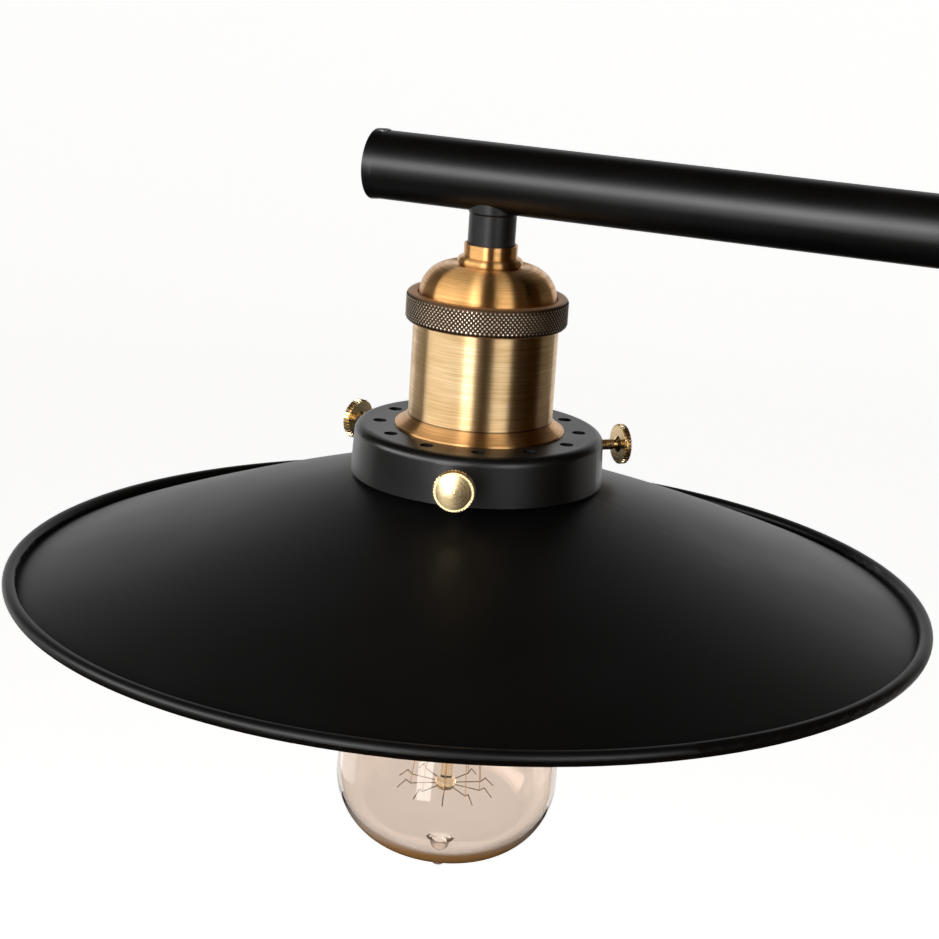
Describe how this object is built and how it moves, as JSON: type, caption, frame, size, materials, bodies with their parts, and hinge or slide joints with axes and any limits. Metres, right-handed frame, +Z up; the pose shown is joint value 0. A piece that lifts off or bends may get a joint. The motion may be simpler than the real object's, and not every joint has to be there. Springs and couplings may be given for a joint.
{
  "type": "rise and fall pendant light",
  "caption": "Pendant light whose wide shade and screw-cap lampholder hang from a bar that swings on a telescopic drop rod.",
  "frame": {"origin": "middle of the strap face that lies on the ceiling, on the axis of the drop rod", "axes": "+Z up; the bar points along -X from the drop rod to the lamp at rest"},
  "size_m": [0.4274, 0.26, 0.6911],
  "materials": {
    "black_paint": "satin black paint, fine grain",
    "antique_brass": "aged brass, brushed",
    "polished_brass": "polished brass",
    "steel": "zinc plated",
    "ceramic": "glazed white ceramic",
    "nylon": "plain",
    "tip_plastic": "plain",
    "lead_sleeve": "insulated lead",
    "bulb_glass": "clear",
    "cap_metal": "pressed",
    "wire": "drawn wire",
    "filament_wire": "drawn wire"
  },
  "bodies": {
    "ceiling_mount": {"ceiling_bracket": "steel", "canopy": "black_paint", "canopy_screws": "polished_brass", "top_nipple": "steel", "nipple_nuts": "steel", "terminal_block": "nylon", "block_screws": "steel", "earth_screw": "polished_brass", "top_coupler": "antique_brass", "outer_tube": "black_paint", "clamp_collar": "antique_brass", "lower_bush": "nylon", "limit_pin": "polished_brass"},
    "drop_tube": {"inner_tube": "black_paint", "upper_bush": "nylon", "tube_plug": "antique_brass", "stop_pin": "steel", "friction_washer": "nylon", "swivel_spindle": "steel", "thrust_washer": "steel", "swivel_nut": "steel"},
    "clamp_pad": {"clamp_pad": "tip_plastic"},
    "clamp_screw": {"clamp_screw": "polished_brass"},
    "arm": {"swivel_knuckle": "black_paint", "bar_grub_screws": "steel", "knuckle_cover": "antique_brass", "lead_connector": "nylon", "lamp_leads": "lead_sleeve", "bar": "black_paint", "bar_end_plug": "black_paint", "stem": "black_paint", "neck_cup": "antique_brass", "hollow_nipple": "steel", "cap_nut": "steel", "lock_washer": "steel", "dome_cap": "antique_brass", "barrel": "antique_brass", "gallery_bush": "antique_brass", "ceramic_insert": "ceramic", "screw_shell": "cap_metal", "centre_contact": "cap_metal", "terminal_screws": "polished_brass", "gallery": "black_paint"},
    "union_ring": {"knurled_ring": "antique_brass"},
    "shade": {"shade": "black_paint"},
    "bulb_base": {"cap_insulator": "tip_plastic", "contact_button": "cap_metal"},
    "bulb": {"bulb_glass": "bulb_glass", "bulb_cap": "cap_metal", "glass_mount": "bulb_glass", "bottom_hooks": "wire", "top_hooks": "wire", "filament": "filament_wire", "feed_wires": "wire"},
    "screw_tip_1": {"screw_tip_1": "tip_plastic"},
    "thumbscrew_1": {"thumbscrew_1": "polished_brass"},
    "screw_tip_2": {"screw_tip_2": "tip_plastic"},
    "thumbscrew_2": {"thumbscrew_2": "polished_brass"},
    "screw_tip_3": {"screw_tip_3": "tip_plastic"},
    "thumbscrew_3": {"thumbscrew_3": "polished_brass"}
  },
  "joints": [
    {"name": "rise_fall", "type": "slide", "parent": "ceiling_mount", "child": "drop_tube", "axis": [0, 0, 1], "range_m": [-0.13, 0.09]},
    {"name": "arm_swing", "type": "hinge", "parent": "drop_tube", "child": "arm", "pos_m": [0, 0, -0.4655], "axis": [0, 0, 1], "range_deg": [-160, 160]},
    {"name": "clamp_travel", "type": "slide", "parent": "ceiling_mount", "child": "clamp_pad", "axis": [0, -1, 0], "range_m": [0, 0.0016]},
    {"name": "clamp_turn", "type": "hinge", "parent": "clamp_pad", "child": "clamp_screw", "pos_m": [0, 0, -0.342], "axis": [0, -1, 0], "range_deg": [0, 720]},
    {"name": "ring_turn", "type": "hinge", "parent": "arm", "child": "union_ring", "pos_m": [-0.24, 0, -0.5284], "axis": [0, 0, 1], "range_deg": [0, 1260]},
    {"name": "shade_turn", "type": "hinge", "parent": "arm", "child": "shade", "pos_m": [-0.24, 0, -0.60485], "axis": [0, 0, 1], "continuous": true},
    {"name": "bulb_travel", "type": "slide", "parent": "arm", "child": "bulb_base", "axis": [0, 0, -1], "range_m": [0, 0.01448]},
    {"name": "bulb_turn", "type": "hinge", "parent": "bulb_base", "child": "bulb", "pos_m": [-0.24, 0, -0.5443], "axis": [0, 0, -1], "range_deg": [0, 1440]},
    {"name": "screw_1_travel", "type": "slide", "parent": "arm", "child": "screw_tip_1", "axis": [0.2198, -0.9755, 0], "range_m": [0, 0.0015]},
    {"name": "screw_1_turn", "type": "hinge", "parent": "screw_tip_1", "child": "thumbscrew_1", "pos_m": [-0.23305, -0.03083, -0.565], "axis": [0.2198, -0.9755, 0], "range_deg": [0, 1080]},
    {"name": "screw_2_travel", "type": "slide", "parent": "arm", "child": "screw_tip_2", "axis": [0.7349, 0.6782, 0], "range_m": [0, 0.0015]},
    {"name": "screw_2_turn", "type": "hinge", "parent": "screw_tip_2", "child": "thumbscrew_2", "pos_m": [-0.21678, 0.02143, -0.565], "axis": [0.7349, 0.6782, 0], "range_deg": [0, 1080]},
    {"name": "screw_3_travel", "type": "slide", "parent": "arm", "child": "screw_tip_3", "axis": [-0.9548, 0.2974, 0], "range_m": [0, 0.0015]},
    {"name": "screw_3_turn", "type": "hinge", "parent": "screw_tip_3", "child": "thumbscrew_3", "pos_m": [-0.27017, 0.0094, -0.565], "axis": [-0.9548, 0.2974, 0], "range_deg": [0, 1080]}
  ],
  "couplings": [
    {"joint": "clamp_turn", "follows": "clamp_travel", "rad_per_m": 7854},
    {"joint": "bulb_turn", "follows": "bulb_travel", "rad_per_m": 1735.7},
    {"joint": "screw_1_turn", "follows": "screw_1_travel", "rad_per_m": 12566},
    {"joint": "screw_2_turn", "follows": "screw_2_travel", "rad_per_m": 12566},
    {"joint": "screw_3_turn", "follows": "screw_3_travel", "rad_per_m": 12566}
  ]
}
